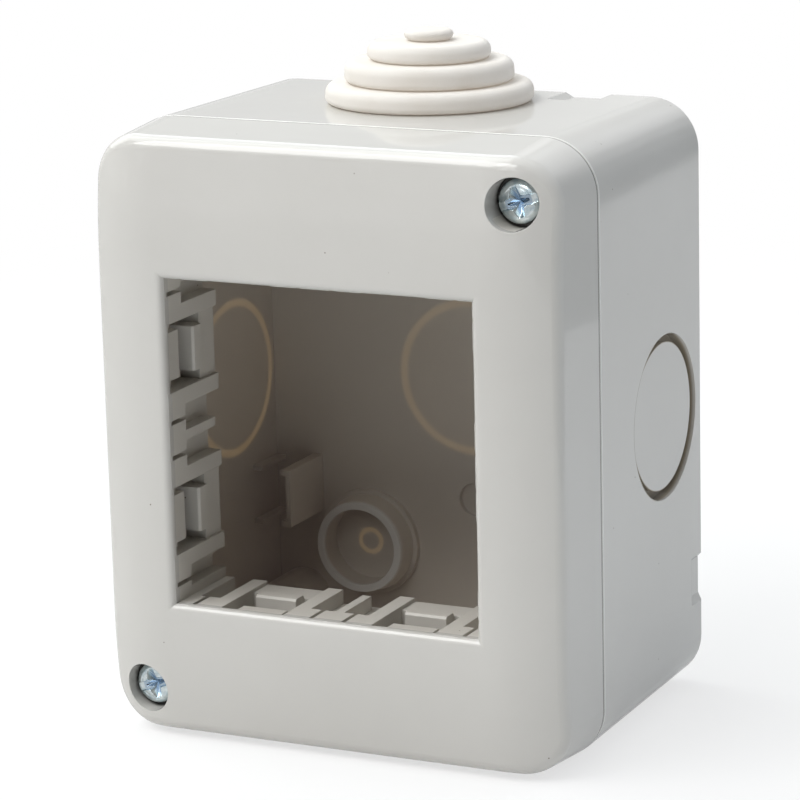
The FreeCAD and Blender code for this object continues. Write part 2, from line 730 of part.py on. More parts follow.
def make_cover_screw(label, sign, turn):
    """Pan-head screw with a cross recess and a slot, seated in its recess in the cover."""
    body = new_body(label)
    profile = new_sketch(body, label + "_profile", "XZ_Plane")
    tip = "-shank_length"
    outline(profile, [
        ("0", tip),
        ("shank_diameter / 2", tip),
        ("shank_diameter / 2", "0"),
        ("head_diameter / 2", "0"),
        ("head_diameter / 2", "head_height"),
        ("0", "head_height"),
    ])
    revolve(body, profile)
    top = number("head_height")
    dress_edges(body, "Chamfer", label + "_head", "head_bevel", lambda edge: lies_at(edge, "Z", top))
    cuts = {
        "slot": ("head_diameter", "slot_width", "slot_cut"),
        "arm": ("cross_length", "cross_width", "cross_depth"),
        "cross_arm": ("cross_width", "cross_length", "cross_depth"),
    }
    for name, (across, up, depth) in cuts.items():
        sketch = new_sketch(body, f"{label}_{name}", "XY_Plane", "head_height")
        rectangle(sketch, f"-({across}) / 2", f"({across}) / 2", f"-({up}) / 2", f"({up}) / 2")
        pocket(body, sketch, depth)
    upright = FreeCAD.Rotation(FreeCAD.Vector(1, 0, 0), 90)
    body.Placement = FreeCAD.Placement(
        FreeCAD.Vector(), upright * FreeCAD.Rotation(FreeCAD.Vector(0, 0, 1), number(turn)))
    body.setExpression("Placement.Base.x", formula(f"{sign} * ({SCREW_X})"))
    body.setExpression("Placement.Base.y", formula(f"-({FRONT}) + recess_depth"))
    body.setExpression("Placement.Base.z", formula(f"{sign} * ({SCREW_Z})"))
    return body


bodies = [
    make_back_box(),
    make_front_cover(),
    make_cable_grommet(),
    make_cover_screw("cover_screw_upper", 1, "upper_turn"),
    make_cover_screw("cover_screw_lower", -1, "lower_turn"),
]
doc.recompute()

failed = [item.Name for item in doc.Objects if {"Invalid", "Error"} & set(item.State)]
if failed:
    raise RuntimeError(f"failed objects: {failed}")
for body in bodies:
    if body.Shape.isNull() or not body.Shape.isValid():
        raise RuntimeError(f"{body.Label} has no valid shape")

os.makedirs("parts", exist_ok=True)
for body in bodies:
    body.Shape.exportStep(f"parts/{body.Label}.step")
    print(f"{body.Label}: {body.Shape.Volume:.1f} mm3 in {len(body.Shape.Solids)} solid(s)")
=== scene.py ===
"""Looks of a surface mounting box for two clip-in wiring modules.

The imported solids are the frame. The wall box and the cover keep their solids and get a gloss moulded
finish. The stepped grommet and the two pan-head screws are worked out here as numpy surfaces, and stand
for their plain solids. Lengths are metres, with X to the right, Y into the wall and Z up. A station is a
distance from the wall face towards the front, that is along -Y. A pair of distances says where a shade
begins and where it is full.
"""

import json
import logging
import math
from dataclasses import dataclass, field, replace
from enum import Enum
from typing import Any, Mapping, Optional, Sequence, Union

import bpy
import numpy as np
from mathutils import Matrix, Vector


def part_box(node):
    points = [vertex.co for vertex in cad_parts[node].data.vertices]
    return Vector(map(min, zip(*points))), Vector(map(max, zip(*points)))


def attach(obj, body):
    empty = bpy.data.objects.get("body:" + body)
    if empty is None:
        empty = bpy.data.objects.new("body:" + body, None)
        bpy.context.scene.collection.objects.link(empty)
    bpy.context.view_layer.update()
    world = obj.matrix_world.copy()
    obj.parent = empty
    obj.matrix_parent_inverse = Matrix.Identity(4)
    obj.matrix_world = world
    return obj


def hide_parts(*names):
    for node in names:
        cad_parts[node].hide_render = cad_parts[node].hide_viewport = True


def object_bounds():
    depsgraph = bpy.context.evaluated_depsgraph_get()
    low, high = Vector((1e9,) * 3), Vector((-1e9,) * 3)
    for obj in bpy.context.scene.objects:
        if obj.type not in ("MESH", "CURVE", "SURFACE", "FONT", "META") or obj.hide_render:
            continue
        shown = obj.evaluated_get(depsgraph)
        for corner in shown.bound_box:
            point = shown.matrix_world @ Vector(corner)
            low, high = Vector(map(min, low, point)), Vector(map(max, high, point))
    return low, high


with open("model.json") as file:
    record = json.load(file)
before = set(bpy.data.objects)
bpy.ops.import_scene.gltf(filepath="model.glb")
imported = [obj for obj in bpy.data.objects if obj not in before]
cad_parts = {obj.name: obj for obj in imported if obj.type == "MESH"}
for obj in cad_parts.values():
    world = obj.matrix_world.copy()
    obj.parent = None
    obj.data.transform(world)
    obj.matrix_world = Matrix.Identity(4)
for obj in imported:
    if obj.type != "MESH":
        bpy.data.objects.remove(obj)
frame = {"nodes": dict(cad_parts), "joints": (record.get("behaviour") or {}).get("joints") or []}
CAD_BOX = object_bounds()

LOG = logging.getLogger("surface_box")
MM = 0.001
ENTRY_STATION = 14.5 * MM
BOX_DRAFT = math.radians(0.75)

Colour = tuple[float, float, float]
Pair = tuple[float, float]
Axes = tuple["Value", "Value", "Value"]
Feed = Union["Value", bpy.types.NodeSocket, float, Sequence[float]]
Shade = Union["SeamShade", "RecessShade", "GrooveShade"]

WHITE: Colour = (1.0, 1.0, 1.0)
BLACK: Colour = (0.0, 0.0, 0.0)


class Value:
    """A number that changes over a surface: a socket with arithmetic that adds Math nodes."""

    def __init__(self, graph: "NodeGraph", socket: bpy.types.NodeSocket) -> None:
        """Wrap one output socket of a graph."""
        self.graph = graph
        self.socket = socket

    def _math(self, operation: str, *operands: Feed) -> "Value":
        """Add a Math node on the operands."""
        node = self.graph.node("ShaderNodeMath", {"operation": operation}, dict(enumerate(operands)))
        return Value(self.graph, node.outputs[0])

    def __add__(self, other: Feed) -> "Value":
        """Sum."""
        return self._math("ADD", self, other)

    def __sub__(self, other: Feed) -> "Value":
        """Difference."""
        return self._math("SUBTRACT", self, other)

    def __rsub__(self, other: Feed) -> "Value":
        """Difference from a number on the left."""
        return self._math("SUBTRACT", other, self)

    def __mul__(self, other: Feed) -> "Value":
        """Product."""
        return self._math("MULTIPLY", self, other)

    def __pow__(self, other: Feed) -> "Value":
        """Power."""
        return self._math("POWER", self, other)

    def __abs__(self) -> "Value":
        """Distance from zero."""
        return self._math("ABSOLUTE", self)

    __radd__ = __add__
    __rmul__ = __mul__

    def larger(self, other: Feed) -> "Value":
        """The larger of two values."""
        return self._math("MAXIMUM", self, other)

    def ramp(self, start: float, end: float) -> "Value":
        """Smooth step from 0 to 1.

        Args:
            start: value at which the step begins.
            end: value at which it is complete; below start, the step falls.

        Returns:
            The eased step.
        """
        low, high = min(start, end), max(start, end)
        node = self.graph.node(
            "ShaderNodeMapRange", {"interpolation_type": "SMOOTHSTEP"},
            {"Value": self, "From Min": low, "From Max": high, "To Min": 0.0, "To Max": 1.0})
        step = Value(self.graph, node.outputs["Result"])
        return step if end > start else 1.0 - step


class NodeGraph:
    """A node tree under construction."""

    def __init__(self, tree: bpy.types.NodeTree) -> None:
        """Start from an empty tree."""
        self.tree = tree
        tree.nodes.clear()

    def node(self, kind: str, settings: Optional[Mapping[str, Any]] = None,
             sockets: Optional[Mapping[Union[str, int], Feed]] = None) -> bpy.types.Node:
        """Add a node.

        Args:
            kind: the node's type name.
            settings: properties that are set first.
            sockets: values or links of the input sockets, by name or index.

        Returns:
            The new node.
        """
        node = self.tree.nodes.new(kind)
        for name, setting in (settings or {}).items():
            setattr(node, name, setting)
        for key, feed in (sockets or {}).items():
            source = feed.socket if isinstance(feed, Value) else feed
            if isinstance(source, bpy.types.NodeSocket):
                self.tree.links.new(source, node.inputs[key])
            else:
                node.inputs[key].default_value = source
        return node

    def place(self) -> bpy.types.NodeSocket:
        """Object coordinates, in metres."""
        return self.node("ShaderNodeTexCoord").outputs["Object"]

    def parts(self, vector: bpy.types.NodeSocket) -> Axes:
        """The three coordinates of a vector as values."""
        node = self.node("ShaderNodeSeparateXYZ", sockets={"Vector": vector})
        return tuple(Value(self, socket) for socket in node.outputs)

    def axes(self) -> Axes:
        """The three Object coordinates as values."""
        return self.parts(self.place())

    def noise(self, size: float, detail: float = 2.0) -> Value:
        """Noise from 0 to 1.

        Args:
            size: width of a blotch in metres.
            detail: octaves of finer noise.

        Returns:
            The noise.
        """
        node = self.node("ShaderNodeTexNoise", {"noise_dimensions": "3D"},
                         {"Vector": self.place(), "Scale": 1.0 / size, "Detail": detail})
        return Value(self, node.outputs[0])

    def specks(self, spacing: float, radius: float, share: float) -> Value:
        """Scattered round specks.

        Args:
            spacing: distance between places where a speck may lie, in metres.
            radius: largest radius of a speck in metres.
            share: share of the places that carry one.

        Returns:
            1 inside a speck and 0 outside.
        """
        node = self.node("ShaderNodeTexVoronoi", {"voronoi_dimensions": "3D", "feature": "F1"},
                         {"Vector": self.place(), "Scale": 1.0 / spacing})
        chance = self.node("ShaderNodeSeparateColor", sockets={"Color": node.outputs["Color"]})
        chosen = Value(self, chance.outputs[0]).ramp(1.0 - share, 1.0 - 0.9 * share)
        near = Value(self, node.outputs["Distance"]).ramp(radius / spacing, 0.6 * radius / spacing)
        return chosen * near

    def blend(self, factor: Feed, first: Feed, second: Feed) -> bpy.types.NodeSocket:
        """Mix of two colours."""
        node = self.node("ShaderNodeMix", {"data_type": "RGBA"}, {0: factor, 6: first, 7: second})
        return node.outputs[2]

    def bump(self, height: Value, distance: float, edge_round: float = 0.0) -> bpy.types.NodeSocket:
        """Normal of a relief.

        Args:
            height: relief from 0 to 1.
            distance: depth of the relief in metres.
            edge_round: radius that softens sharp edges, in metres.

        Returns:
            The normal's socket.
        """
        feeds: dict[str, Feed] = {"Height": height, "Distance": distance, "Strength": 1.0}
        if edge_round:
            edge = self.node("ShaderNodeBevel", {"samples": 6}, {"Radius": edge_round})
            feeds["Normal"] = edge.outputs["Normal"]
        return self.node("ShaderNodeBump", sockets=feeds).outputs["Normal"]

    def rays(self) -> tuple[Value, Value]:
        """What kind of ray meets a surface.

        Returns:
            1 for rays from the camera or through glass, and 1 for rays from gloss.
        """
        node = self.node("ShaderNodeLightPath")
        names = ("Is Camera Ray", "Is Transmission Ray", "Is Glossy Ray")
        camera, glass, gloss = (Value(self, node.outputs[name]) for name in names)
        return camera.larger(glass), gloss

    def surface(self, sockets: Mapping[str, Feed]) -> None:
        """Close a material's tree with a Principled shader that has these sockets."""
        shader = self.node("ShaderNodeBsdfPrincipled", sockets=sockets)
        self.node("ShaderNodeOutputMaterial", sockets={"Surface": shader.outputs["BSDF"]})


def opaque(colour: Colour) -> tuple[float, float, float, float]:
    """A colour with full alpha."""
    return (*colour, 1.0)


def apart(first: Value, second: Value, centre: Pair = (0.0, 0.0)) -> Value:
    """Distance of two coordinates from a centre: the root of the sum of their squared differences."""
    return ((first - centre[0]) ** 2.0 + (second - centre[1]) ** 2.0) ** 0.5


def nominal(length: float) -> float:
    """A length of a solid's box to 0.01 mm, because its facets lie a little inside its true faces."""
    return round(length, 5)


def new_material(name: str) -> tuple[bpy.types.Material, NodeGraph]:
    """Start a material.

    Args:
        name: name of the material.

    Returns:
        The material and its empty graph.
    """
    material = bpy.data.materials.new(name)
    material.use_nodes = True
    return material, NodeGraph(material.node_tree)


@dataclass(frozen=True)
class ThinWeb:
    """A ring where the wall is so thin that light shows through, and the thinned disc inside it; the light
    is a painted glow.

    Attributes:
        axis: index of the coordinate along the ring's axis.
        level: coordinate of the lit face on that axis.
        centre: the other two coordinates of the ring's middle, in axis order.
        radius: mean radius of the ring.
        width: width of the ring.
        colour: colour of the light.
        light: light through the ring, up to 1.
        disc: light through the disc, up to 1.
        fade: distances from the lit face at which the light is gone and is full.
    """

    axis: int
    level: float
    centre: Pair
    radius: float
    width: float
    colour: Colour
    light: float = 1.0
    disc: float = 0.0
    fade: Pair = (0.45 * MM, 0.3 * MM)

    def mask(self, axes: Axes) -> Value:
        """Share of the light at a place.

        The distance from the ring's axis, less its radius, falls off softly over the ring's width, the
        disc inside the ring has its own share, and both fade away from the lit face.

        Args:
            axes: the three Object coordinates.

        Returns:
            The ring's light along its middle, the disc's light inside it and 0 outside.
        """
        along = axes[self.axis]
        first, second = (value for index, value in enumerate(axes) if index != self.axis)
        reach = apart(first, second, self.centre)
        ring = self.light * abs(reach - self.radius).ramp(0.8 * self.width, 0.15 * self.width)
        disc = self.disc * reach.ramp(self.radius, self.radius - 0.8 * self.width)
        return ring.larger(disc) * abs(along - self.level).ramp(*self.fade)


@dataclass(frozen=True)
class LitHollow:
    """The room inside a drafted wall, which the finish paints darker as painted shade; with thin webs it
    also gets a painted glow, brighter at the lower right.

    Attributes:
        half_width: half width of the hollow at its open end.
        half_height: half height of the hollow at its open end.
        depth: station of the open end.
        floor: station of the hollow's floor.
        slope: tangent of the draft.
        margin: distance over which the edges of the hollow are eased.
    """

    half_width: float
    half_height: float
    depth: float
    floor: float = 0.0
    slope: float = 0.0
    margin: float = 0.25 * MM

    def mask(self, axes: Axes) -> Value:
        """1 inside and 0 outside.

        A place is inside where it is nearer to the middle than the drafted walls and lies between the
        open end and the floor, each with the margin.

        Args:
            axes: the three Object coordinates.

        Returns:
            The share of the inside.
        """
        x, y, z = axes
        lean = (y + self.depth) * self.slope
        wide = (abs(x) + lean).ramp(self.half_width + self.margin, self.half_width)
        tall = (abs(z) + lean).ramp(self.half_height + self.margin, self.half_height)
        open_end = y.ramp(-self.depth, self.margin - self.depth)
        return wide * tall * open_end * y.ramp(self.margin - self.floor, -self.floor)

    def across(self, axes: Axes) -> Value:
        """0 at the upper left of the inside and 1 at the lower right."""
        return (axes[0] - 0.35 * axes[2]).ramp(-0.4 * self.half_width, 1.1 * self.half_width)


@dataclass(frozen=True)
class SeamShade:
    """A fine painted strip round the outside, beside the joint of the cover and the box: painted shadow in
    the joint, or a painted highlight behind the box's rim.

    Attributes:
        stations: stations at which the strip begins to show and at which it is full.
        clear: half width and half height inside which there is no strip.
        colour: colour of the strip.
        margin: distance over which the strip begins outside the clear room.
    """

    stations: Pair
    clear: Pair
    colour: Colour
    margin: float = 0.5 * MM

    def mask(self, axes: Axes) -> Value:
        """1 on the strip and 0 away from it."""
        outside = (abs(axes[0]) - self.clear[0]).larger(abs(axes[2]) - self.clear[1])
        return axes[1].ramp(-self.stations[0], -self.stations[1]) * outside.ramp(0.0, self.margin)


@dataclass(frozen=True)
class RecessShade:
    """A painted band over part of the depth of a round recess or cup: painted shade in a screw recess, or
    a painted highlight on a cup's rim.

    Attributes:
        centre: X and Z of the round.
        radius: radius of the round.
        stations: stations at which the shade begins and at which it is full.
        colour: colour of the painted band.
        margins: distances past the radius at which the shade is gone and is full.
    """

    centre: Pair
    radius: float
    stations: Pair
    # painted shade, near black, deep in a screw recess
    colour: Colour = (0.05, 0.046, 0.04)
    margins: Pair = (0.2 * MM, 0.1 * MM)

    def mask(self, axes: Axes) -> Value:
        """1 past the second station inside the round, and 0 outside."""
        inside = apart(axes[0], axes[2], self.centre).ramp(*(self.radius + end for end in self.margins))
        return inside * axes[1].ramp(-self.stations[0], -self.stations[1])


@dataclass(frozen=True)
class GrooveShade:
    """Painted shade at the bottom of a round groove in two opposite drafted walls.

    Attributes:
        axis: index of the coordinate across the walls, X or Z.
        level: distance of the walls from the middle, at their open end.
        depth: station of the open end.
        radius: mean radius of the groove.
        width: width of the groove.
        shaded_depths: depths in the groove at which the painted shade begins and is full.
        beyond: depths at which the painted shade is gone and is whole, past the far side of the wall.
        line: distances from the groove's edge at which the fine line of painted shadow is gone and is
            full.
        line_share: share of the painted shade in that line.
        colour: colour of the painted shade.
    """

    axis: int
    level: float
    depth: float
    radius: float
    width: float
    # painted shade: darker deeper in the groove, with a painted shadow line along its front edge
    shaded_depths: Pair = (0.15 * MM, 0.65 * MM)
    beyond: Pair = (2.2 * MM, 2.0 * MM)
    line: Pair = (0.2 * MM, 0.05 * MM)
    line_share: float = 0.6
    colour: Colour = (0.30, 0.26, 0.20)

    def mask(self, axes: Axes) -> Value:
        """Share of the painted shade at a place.

        It grows with the depth below the drafted outer face and is limited to the groove's width, and a
        fine line of it follows the edge on the front side.

        Args:
            axes: the three Object coordinates.

        Returns:
            1 at the bottom of the groove and 0 at its edges.
        """
        deep = self.level - abs(axes[self.axis]) - (axes[1] + self.depth) * math.tan(BOX_DRAFT)
        reach = apart(axes[1], axes[2 - self.axis], (-ENTRY_STATION, 0.0)) - self.radius
        ring = abs(reach).ramp(0.65 * self.width, 0.55 * self.width) * deep.ramp(*self.shaded_depths)
        front = (axes[1] + ENTRY_STATION).ramp(0.0, -0.5 * self.radius)
        line = self.line_share * abs(reach - 0.5 * self.width).ramp(*self.line) * front
        return ring.larger(line) * deep.ramp(*self.beyond)


@dataclass(frozen=True)
class GlossPlastic:
    """Injection-moulded gloss plastic with a faint orange peel, soft edges and a few specks."""

    name: str
    tint: Colour
    shade: Colour
    speck: Colour = (0.14, 0.11, 0.08)
    # painted shade: the inside is painted darker and browner than the outside
    inner_painted_shade: Colour = (0.56, 0.515, 0.445)
    # painted glow, as emission, inside the box: dim at the upper left, brighter at the lower right
    left_glow: Colour = (0.009, 0.007, 0.007)
    right_glow: Colour = (0.019, 0.018, 0.021)
    gloss: float = 0.03
    inner_gloss: float = 0.3
    smear: float = 0.03
    speck_rough: float = 0.3
    ior: float = 1.53
    cloud_size: float = 28.0 * MM
    smear_size: float = 9.0 * MM
    peel_size: float = 2.6 * MM
    peel_depth: float = 0.004 * MM
    grain_size: float = 0.16 * MM
    grain_share: float = 0.02
    edge_round: float = 0.14 * MM
    specks: tuple[float, float, float] = (4.0 * MM, 0.13 * MM, 0.55)  # spacing, largest radius, share

    def material(self, hollow: LitHollow, joints: Sequence[Shade],
                 webs: Sequence[ThinWeb] = ()) -> bpy.types.Material:
        """The finish as a material.

        Args:
            hollow: inside, which is less glossy and painted darker and browner, as painted shade.
            joints: places with painted shade, painted shadow or a painted highlight.
            webs: rings where light shows through; with them, the inside gets a little painted glow.

        Returns:
            The material.
        """
        material, graph = new_material(self.name)
        axes = graph.axes()
        inside = hollow.mask(axes)
        speck = graph.specks(*self.specks)
        cloud = graph.noise(self.cloud_size, 3.0)
        peel = graph.noise(self.peel_size, 1.0) + self.grain_share * graph.noise(self.grain_size)
        colour = graph.blend(cloud.ramp(0.3, 0.7), opaque(self.tint), opaque(self.shade))
        # painted shade over the inside
        colour = graph.blend(inside, colour, opaque(self.inner_painted_shade))
        colour = graph.blend(speck, colour, opaque(self.speck))
        # painted shade, painted shadow and painted highlights over the colour
        for joint in joints:
            colour = graph.blend(joint.mask(axes), colour, opaque(joint.colour))
        rough = self.gloss + (self.inner_gloss - self.gloss) * inside
        sockets: dict[str, Feed] = {
            "Base Color": colour,
            "Roughness": rough + self.smear * graph.noise(self.smear_size, 4.0) + self.speck_rough * speck,
            "Normal": graph.bump(peel, self.peel_depth, self.edge_round),
            "IOR": self.ior,
        }
        if webs:
            # painted glow: emission over the inside, brighter at the lower right, with the thin rings'
            # painted glow over it
            through = graph.blend(hollow.across(axes), opaque(self.left_glow), opaque(self.right_glow))
            through = graph.blend(inside, opaque(BLACK), through)
            for web in webs:
                through = graph.blend(web.mask(axes), through, opaque(web.colour))
            sockets["Emission Color"] = through
            sockets["Emission Strength"] = 1.0
        graph.surface(sockets)
        return material


@dataclass(frozen=True)
class SoftRubber:
    """Pale soft rubber: matt, faintly mottled, with a fine grain and some dust; a painted glow stands in
    for light through the translucent rubber.
    """

    name: str = "soft_rubber_finish"
    tint: Colour = (0.68, 0.66, 0.63)
    shade: Colour = (0.655, 0.63, 0.595)
    dust: Colour = (0.45, 0.41, 0.36)
    # painted glow, as emission, that lightens the whole grommet, its shaded walls too
    glow: Colour = (0.11, 0.094, 0.076)
    roughness: Pair = (0.42, 0.16)  # least, and what the mottling adds
    ior: float = 1.45
    gloss_level: float = 0.15
    mottle_size: float = 5.0 * MM
    grain_size: float = 0.25 * MM
    swell_size: float = 3.0 * MM
    swell_share: float = 1.5
    grain_depth: float = 0.012 * MM
    specks: tuple[float, float, float] = (2.2 * MM, 0.09 * MM, 0.5)  # spacing, largest radius, share

    def material(self) -> bpy.types.Material:
        """The finish as a material.

        Returns:
            The material.
        """
        material, graph = new_material(self.name)
        mottle = graph.noise(self.mottle_size, 4.0)
        tint = graph.blend(mottle.ramp(0.35, 0.75), opaque(self.tint), opaque(self.shade))
        grain = graph.noise(self.grain_size, 3.0) + self.swell_share * graph.noise(self.swell_size, 1.0)
        graph.surface({
            "Base Color": graph.blend(graph.specks(*self.specks), tint, opaque(self.dust)),
            "Roughness": self.roughness[0] + self.roughness[1] * mottle,
            "Normal": graph.bump(grain, self.grain_depth),
            "IOR": self.ior,
            "Specular IOR Level": self.gloss_level,
            "Emission Color": opaque(self.glow),
            "Emission Strength": 1.0,
        })
        return material


@dataclass(frozen=True)
class ZincSteel:
    """Blue-passivated zinc on steel: bright, with cloudy tumbling marks, and painted shade that makes the
    cuts of a head darker and bluer.
    """

    name: str = "zinc_steel_finish"
    tint: Colour = (0.78, 0.84, 0.85)
    shade: Colour = (0.46, 0.57, 0.62)
    # painted shade, darker and bluer, in the slot and cross of the head
    deep: Colour = (0.40, 0.50, 0.61)
    roughness: Pair = (0.12, 0.12)  # least, and what the marks add
    cloud_size: float = 0.9 * MM
    mark_size: float = 0.18 * MM
    mark_depth: float = 0.004 * MM
    reach: float = 2.0 * MM
    cut_depths: Pair = (0.35 * MM, 0.9 * MM)  # below the top of the head

    def material(self, centre: Pair, top: float) -> bpy.types.Material:
        """The finish as a material, with painted shade that makes the cuts of a head bluer.

        Args:
            centre: X and Z of the head.
            top: Y of the top of the head.

        Returns:
            The material.
        """
        material, graph = new_material(self.name)
        x, y, z = graph.axes()
        marks = graph.noise(self.mark_size, 3.0)
        cloud = graph.noise(self.cloud_size, 4.0)
        tint = graph.blend(cloud.ramp(0.3, 0.75), opaque(self.tint), opaque(self.shade))
        # painted shade in the head's cuts, below its top and near its middle
        below = y.ramp(*(top + depth for depth in self.cut_depths))
        cut = apart(x, z, centre).ramp(self.reach, 0.9 * self.reach) * below
        graph.surface({
            "Base Color": graph.blend(cut, tint, opaque(self.deep)),
            "Roughness": self.roughness[0] + self.roughness[1] * marks,
            "Metallic": 1.0,
            "Normal": graph.bump(marks, self.mark_depth),
        })
        return material


def mesh_object(name: str, points: np.ndarray, faces: Sequence[np.ndarray],
                sharp: float) -> bpy.types.Object:
    """A new object from arrays.

    Args:
        name: name of the piece.
        points: vertices, one row each, in metres.
        faces: arrays of vertex indices, one for each count of corners.
        sharp: angle between faces above which an edge stays sharp, in degrees.

    Returns:
        The linked object, at the origin.
    """
    mesh = bpy.data.meshes.new(name)
    mesh.from_pydata(points.tolist(), [], [row for block in faces for row in block.tolist()])
    mesh.validate()
    mesh.shade_smooth()
    mesh.set_sharp_from_angle(angle=math.radians(sharp))
    item = bpy.data.objects.new(name, mesh)
    bpy.context.scene.collection.objects.link(item)
    return item


def turned_faces(rings: int, steps: int) -> list[np.ndarray]:
    """Faces of a turned surface whose first and last vertices are its poles.

    Ring i has its vertices from 1 + i * steps on. Each pair of rings is joined by a band of four-cornered
    faces that closes on itself, and each pole by a fan of triangles.

    Args:
        rings: number of rings between the poles.
        steps: vertices in a ring.

    Returns:
        The bands, the first fan and the last fan.
    """
    here = np.arange(steps)
    after = (here + 1) % steps
    start = 1 + np.arange(rings - 1)[:, None] * steps
    bands = np.stack([start + here, start + steps + here, start + steps + after, start + after], axis=-1)
    last = 1 + (rings - 1) * steps
    first_fan = np.stack([np.zeros_like(here), 1 + here, 1 + after], axis=-1)
    last_fan = np.stack([np.full_like(here, last + steps), last + after, last + here], axis=-1)
    return [bands.reshape(-1, 4), first_fan, last_fan]


def turned_points(radius: np.ndarray, height: np.ndarray, steps: int) -> np.ndarray:
    """Vertices of a turned surface, poles first and last.

    A vertex is (r cos a, r sin a, h), with the radius r and height h of its row and an angle a that runs
    once round in equal steps.

    Args:
        radius: radius of each row, or of each row and step; the first and last rows are the poles.
        height: height of each row, or of each row and step.
        steps: vertices in a ring.

    Returns:
        One row of three coordinates for each vertex.
    """
    angle = turn_angles(steps)
    rows = len(radius)
    radius = np.broadcast_to(radius.reshape(rows, -1), (rows, steps))
    height = np.broadcast_to(height.reshape(rows, -1), (rows, steps))
    rings = np.stack([radius * np.cos(angle), radius * np.sin(angle), height], axis=-1)
    first, last = ([[0.0, 0.0, height[row, 0]]] for row in (0, -1))
    return np.concatenate([first, rings[1:-1].reshape(-1, 3), last])


def turn_angles(steps: int) -> np.ndarray:
    """Angles once round in equal steps."""
    return np.arange(steps) * (2.0 * math.pi / steps)


def rounded_line(corners: np.ndarray, radii: np.ndarray, steps: int, spacing: float) -> np.ndarray:
    """Open line with its corners rounded.

    Each inner corner becomes a circular arc, written as a rational curve from the tangent point before
    it to the one after it, whose middle weight is the sine of half the corner's angle. Points are then
    added along the whole line, no further apart than the spacing.

    Args:
        corners: corner points, one row each.
        radii: radius at each inner corner.
        steps: points on each arc.
        spacing: longest step along the line.

    Returns:
        The line's points, one row each.
    """
    corner, before, after = corners[1:-1], corners[:-2], corners[2:]
    to_before = (before - corner) / np.linalg.norm(before - corner, axis=1, keepdims=True)
    to_after = (after - corner) / np.linalg.norm(after - corner, axis=1, keepdims=True)
    half = np.arccos(np.clip((to_before * to_after).sum(axis=1), -1.0, 1.0)) / 2.0
    reach = (radii / np.tan(half))[:, None]
    start, end = corner + to_before * reach, corner + to_after * reach
    t = np.linspace(0.0, 1.0, steps)[None, :, None]
    weights = (1.0 - t) ** 2, 2.0 * t * (1.0 - t) * np.sin(half)[:, None, None], t ** 2
    pulls = (weight * point[:, None] for weight, point in zip(weights, (start, corner, end)))
    arcs = sum(pulls) / sum(weights)
    line = np.concatenate([corners[:1], arcs.reshape(-1, 2), corners[-1:]])
    length = np.concatenate([[0.0], np.cumsum(np.linalg.norm(np.diff(line, axis=0), axis=1))])
    stations = np.union1d(length, np.arange(0.0, length[-1], spacing))
    stations = stations[np.concatenate([[True], np.diff(stations) > 0.05 * spacing])]
    return np.stack([np.interp(stations, length, column) for column in line.T], axis=1)


def eased(value: np.ndarray, start: float, end: float) -> np.ndarray:
    """Smooth step of an array, from 0 at start to 1 at end."""
    t = np.clip((value - start) / (end - start), 0.0, 1.0)
    return t * t * (3.0 - 2.0 * t)


def dress(item: bpy.types.Object, material: bpy.types.Material) -> None:
    """Put one material on an object in place of what it has."""
    item.data.materials.clear()
    item.data.materials.append(material)


